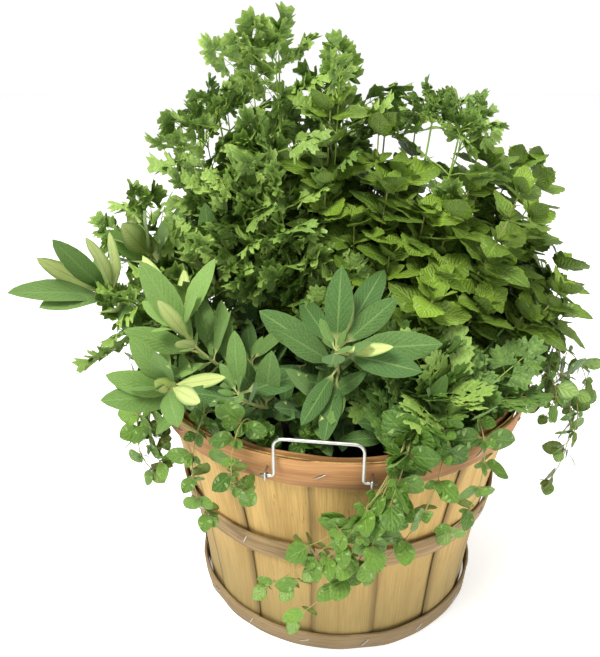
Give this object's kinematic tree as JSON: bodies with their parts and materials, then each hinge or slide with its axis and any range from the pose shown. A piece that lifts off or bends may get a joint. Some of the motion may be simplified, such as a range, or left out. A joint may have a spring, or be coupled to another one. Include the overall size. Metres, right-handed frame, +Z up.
{
  "type": "potted herbs",
  "caption": "Mixed kitchen herbs growing in a round wooden stave basket of soil: leafy sprigs rise and trail over the hooped rim, with a swinging wire handle on two sides.",
  "frame": {"origin": "middle of the basket's flat base, on the ground it stands on", "axes": "+Z up out of the basket; -Y is the front, the side with the trailing oregano and the front handle; +X is to the right seen from the front"},
  "size_m": [0.5303, 0.4421, 0.5558],
  "materials": {
    "stave_wood": "thin bare hardwood veneer, weathered light tan",
    "hoop_wood": "bare wood band, weathered brown",
    "rim_wood": "bare wood band, reddish brown",
    "soil": "moist dark potting soil with wood and bark bits",
    "wire": "galvanised steel wire",
    "sage_leaf": "soft matte grey-green leaf",
    "mint_leaf": "crinkled mid-green leaf, slight sheen",
    "parsley_leaf": "dark green leaf, slight gloss",
    "oregano_leaf": "smooth green leaf"
  },
  "bodies": {
    "basket": {"stave_01": "stave_wood", "stave_02": "stave_wood", "stave_03": "stave_wood", "stave_04": "stave_wood", "stave_05": "stave_wood", "stave_06": "stave_wood", "stave_07": "stave_wood", "stave_08": "stave_wood", "stave_09": "stave_wood", "stave_10": "stave_wood", "stave_11": "stave_wood", "stave_12": "stave_wood", "stave_13": "stave_wood", "stave_14": "stave_wood", "stave_15": "stave_wood", "stave_16": "stave_wood", "bottom_board": "stave_wood", "bottom_hoop": "hoop_wood", "mid_hoop": "hoop_wood", "rim_hoop_outer": "rim_wood", "rim_hoop_inner": "rim_wood", "soil": "soil", "keeper_front_left": "wire", "keeper_front_right": "wire", "keeper_back_left": "wire", "keeper_back_right": "wire", "sage_left_far": "sage_leaf", "sage_left_low": "sage_leaf", "sage_left_back": "sage_leaf", "sage_left_near": "sage_leaf", "sage_upright": "sage_leaf", "sage_middle": "sage_leaf", "sage_front": "sage_leaf", "sage_front_right": "sage_leaf", "mint_tall": "mint_leaf", "mint_back": "mint_leaf", "mint_right": "mint_leaf", "mint_right_back": "mint_leaf", "mint_right_side": "mint_leaf", "mint_centre": "mint_leaf", "mint_front": "mint_leaf", "mint_right_front": "mint_leaf", "mint_far_back": "mint_leaf", "parsley_tallest": "parsley_leaf", "parsley_top": "parsley_leaf", "parsley_left": "parsley_leaf", "parsley_middle": "parsley_leaf", "parsley_left_back": "parsley_leaf", "parsley_right": "parsley_leaf", "parsley_front": "parsley_leaf", "parsley_back": "parsley_leaf", "oregano_front": "oregano_leaf", "oregano_front_short": "oregano_leaf", "oregano_left": "oregano_leaf", "oregano_right_front": "oregano_leaf", "oregano_right": "oregano_leaf", "oregano_right_high": "oregano_leaf", "oregano_back": "oregano_leaf"},
    "handle_front": {"handle_front": "wire"},
    "handle_back": {"handle_back": "wire"}
  },
  "joints": [
    {"name": "handle_front_swing", "type": "hinge", "parent": "basket", "child": "handle_front", "pos_m": [-0.02586, -0.18398, 0.222], "axis": [0.9903, -0.1392, 0], "range_deg": [0, 90]},
    {"name": "handle_back_swing", "type": "hinge", "parent": "basket", "child": "handle_back", "pos_m": [0.02586, 0.18398, 0.222], "axis": [-0.9903, 0.1392, 0], "range_deg": [0, 90]}
  ]
}
